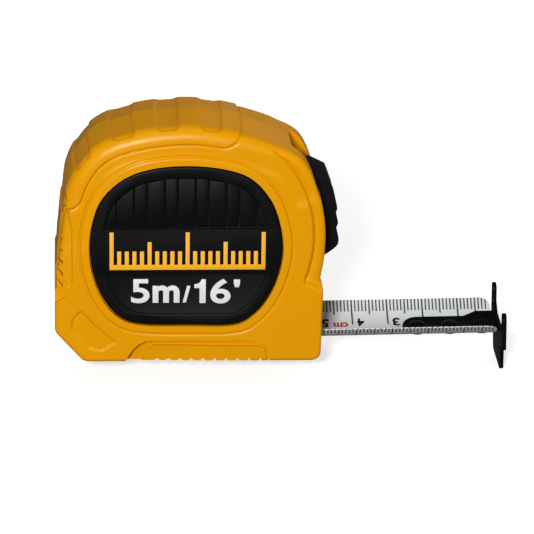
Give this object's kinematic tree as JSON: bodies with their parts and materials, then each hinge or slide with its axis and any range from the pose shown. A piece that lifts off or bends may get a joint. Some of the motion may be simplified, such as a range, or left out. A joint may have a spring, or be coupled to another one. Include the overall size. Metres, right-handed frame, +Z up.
{
  "type": "pocket tape measure",
  "caption": "Pocket tape measure with a two-part moulded case, dished steel blade pulled partly out, floating end hook, front thumb lock and belt clip.",
  "frame": {"origin": "centre of the overall bounding box at its lowest level, which is the lower edge of the end hook's lip", "axes": "+X is the way the blade is pulled out, +Y is towards the side with the belt clip, +Z is up from the case's flat underside to its crown"},
  "size_m": [0.125, 0.0382, 0.0746],
  "materials": {
    "case_yellow_near": "satin",
    "case_yellow_far": "satin",
    "badge_black_near": "matte",
    "badge_black_far": "matte",
    "screw_zinc_1": "satin",
    "screw_zinc_2": "satin",
    "screw_zinc_3": "satin",
    "screw_zinc_4": "satin",
    "spindle_plastic": "matte",
    "guide_rubber": "matte",
    "clip_steel": "satin",
    "clip_screw_zinc": "satin",
    "drum_plastic": "matte",
    "cap_plastic": "matte",
    "spring_steel": "satin",
    "coil_paint": "satin",
    "blade_paint": "satin",
    "hook_black": "satin",
    "rivet_black_1": "satin",
    "rivet_black_2": "satin",
    "rivet_black_3": "satin",
    "lock_black": "matte",
    "arm_plastic": "matte"
  },
  "bodies": {
    "case": {"near_shell": "case_yellow_near", "far_shell": "case_yellow_far", "near_badge": "badge_black_near", "far_badge": "badge_black_far", "case_screw_1": "screw_zinc_1", "case_screw_2": "screw_zinc_2", "case_screw_3": "screw_zinc_3", "case_screw_4": "screw_zinc_4", "spindle": "spindle_plastic", "mouth_guide": "guide_rubber", "belt_clip": "clip_steel", "belt_clip_screw": "clip_screw_zinc"},
    "reel": {"drum": "drum_plastic", "drum_cap": "cap_plastic", "mainspring": "spring_steel", "blade_coil": "coil_paint"},
    "tape": {"blade": "blade_paint", "rivet_1": "rivet_black_1", "rivet_2": "rivet_black_2", "rivet_3": "rivet_black_3"},
    "end_hook": {"hook": "hook_black"},
    "lock": {"lock_button": "lock_black", "lock_arm": "arm_plastic"}
  },
  "joints": [
    {"name": "reel_spin", "type": "hinge", "parent": "case", "child": "reel", "pos_m": [-0.02562, 0, 0.04172], "axis": [0, 1, 0], "range_deg": [-26, 125]},
    {"name": "blade_slide", "type": "slide", "parent": "case", "child": "tape", "axis": [0.9999, 0, 0.0166], "range_m": [-0.048, 0.01]},
    {"name": "hook_float", "type": "slide", "parent": "tape", "child": "end_hook", "axis": [0.9999, 0, 0.0166], "range_m": [-0.0005, 0.0005]},
    {"name": "lock_slide", "type": "hinge", "parent": "case", "child": "lock", "pos_m": [-0.02562, 0, 0.04172], "axis": [0, 1, 0], "range_deg": [0, 10]}
  ],
  "couplings": [
    {"joint": "blade_slide", "follows": "reel_spin", "m_per_rad": -0.022}
  ]
}
